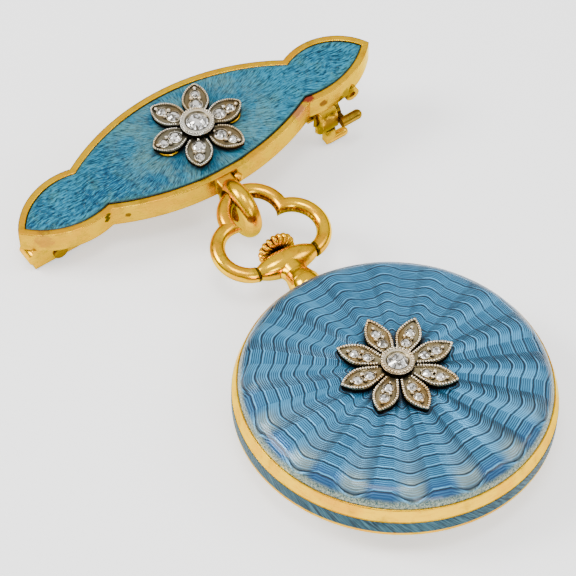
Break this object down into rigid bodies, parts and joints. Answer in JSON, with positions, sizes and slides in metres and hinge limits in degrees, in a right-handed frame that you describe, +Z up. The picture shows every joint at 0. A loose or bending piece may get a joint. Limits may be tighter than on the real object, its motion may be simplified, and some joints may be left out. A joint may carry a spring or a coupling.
{
  "type": "pendant watch on a bar brooch",
  "caption": "Round pocket-style pendant watch with an enamelled back and a stone-set flower, hung by its trefoil bow from an enamelled bar brooch with a pin and safety catch.",
  "frame": {"origin": "on the surface that the piece lies on, under the middle of its bounding box", "axes": "+Z up, away from the surface; +Y from the watch towards the brooch; +X along the brooch towards its catch"},
  "size_m": [0.0388, 0.0538, 0.0089],
  "materials": {
    "gold": "polished, lightly worn yellow gold",
    "white_metal": "bright silver-coloured setting with a warm tone",
    "blue_enamel": "translucent blue enamel over an engine-turned ground",
    "dark_enamel": "darker blue enamel over fine hatching",
    "cut_stone": "clear cut stone",
    "crystal": "polished watch glass",
    "dial_white": "white enamel dial with plain numbers",
    "movement_brass": "satin plates",
    "blued_steel": "blued",
    "steel": "polished"
  },
  "bodies": {
    "brooch": {"brooch_frame": "gold", "brooch_enamel": "blue_enamel", "brooch_flower": "white_metal", "brooch_flower_posts": "gold", "brooch_stone_centre": "cut_stone", "brooch_stone_inner_1": "cut_stone", "brooch_stone_inner_2": "cut_stone", "brooch_stone_inner_3": "cut_stone", "brooch_stone_inner_4": "cut_stone", "brooch_stone_inner_5": "cut_stone", "brooch_stone_inner_6": "cut_stone", "brooch_stone_outer_1": "cut_stone", "brooch_stone_outer_2": "cut_stone", "brooch_stone_outer_3": "cut_stone", "brooch_stone_outer_4": "cut_stone", "brooch_stone_outer_5": "cut_stone", "brooch_stone_outer_6": "cut_stone", "pin_rivet": "gold", "bow": "gold"},
    "pin": {"pin_stem": "gold"},
    "catch": {"safety_catch": "gold"},
    "watch": {"case_middle": "gold", "middle_enamel": "dark_enamel", "back_lid": "gold", "back_enamel": "blue_enamel", "watch_flower": "white_metal", "watch_stone_centre": "cut_stone", "watch_stone_inner_1": "cut_stone", "watch_stone_inner_2": "cut_stone", "watch_stone_inner_3": "cut_stone", "watch_stone_inner_4": "cut_stone", "watch_stone_inner_5": "cut_stone", "watch_stone_inner_6": "cut_stone", "watch_stone_inner_7": "cut_stone", "watch_stone_inner_8": "cut_stone", "watch_stone_outer_1": "cut_stone", "watch_stone_outer_2": "cut_stone", "watch_stone_outer_3": "cut_stone", "watch_stone_outer_4": "cut_stone", "watch_stone_outer_5": "cut_stone", "watch_stone_outer_6": "cut_stone", "watch_stone_outer_7": "cut_stone", "watch_stone_outer_8": "cut_stone", "bezel": "gold", "glass": "crystal", "dial": "dial_white", "movement": "movement_brass"},
    "stem": {"winding_stem": "steel"},
    "crown": {"crown": "gold"},
    "minute": {"minute_hand": "blued_steel"},
    "hour": {"hour_hand": "blued_steel"}
  },
  "joints": [
    {"name": "watch_swing", "type": "hinge", "parent": "brooch", "child": "watch", "pos_m": [0.00004, 0.00483, 0.00395], "axis": [1, 0, 0], "range_deg": [-85, 100]},
    {"name": "pin_hinge", "type": "hinge", "parent": "brooch", "child": "pin", "pos_m": [-0.01567, 0.01947, 0.00115], "axis": [0.0551, -0.9952, -0.0811], "range_deg": [-70, 0]},
    {"name": "catch_turn", "type": "hinge", "parent": "brooch", "child": "catch", "pos_m": [0.01204, 0.01975, 0.0036], "axis": [0.9947, 0.0477, 0.0912], "range_deg": [0, 90]},
    {"name": "stem_pull", "type": "slide", "parent": "watch", "child": "stem", "axis": [0, 1, 0], "range_m": [0, 0.0006]},
    {"name": "crown_turn", "type": "hinge", "parent": "stem", "child": "crown", "pos_m": [0.00004, 0.00673, 0.00395], "axis": [0, 1, 0], "continuous": true},
    {"name": "minute_turn", "type": "hinge", "parent": "watch", "child": "minute", "pos_m": [0.00004, -0.01287, 0.0016], "axis": [0, 0, 1], "continuous": true},
    {"name": "hour_turn", "type": "hinge", "parent": "watch", "child": "hour", "pos_m": [0.00004, -0.01287, 0.0019], "axis": [0, 0, 1], "continuous": true}
  ],
  "couplings": [
    {"joint": "hour_turn", "follows": "minute_turn", "ratio": 0.083333}
  ]
}
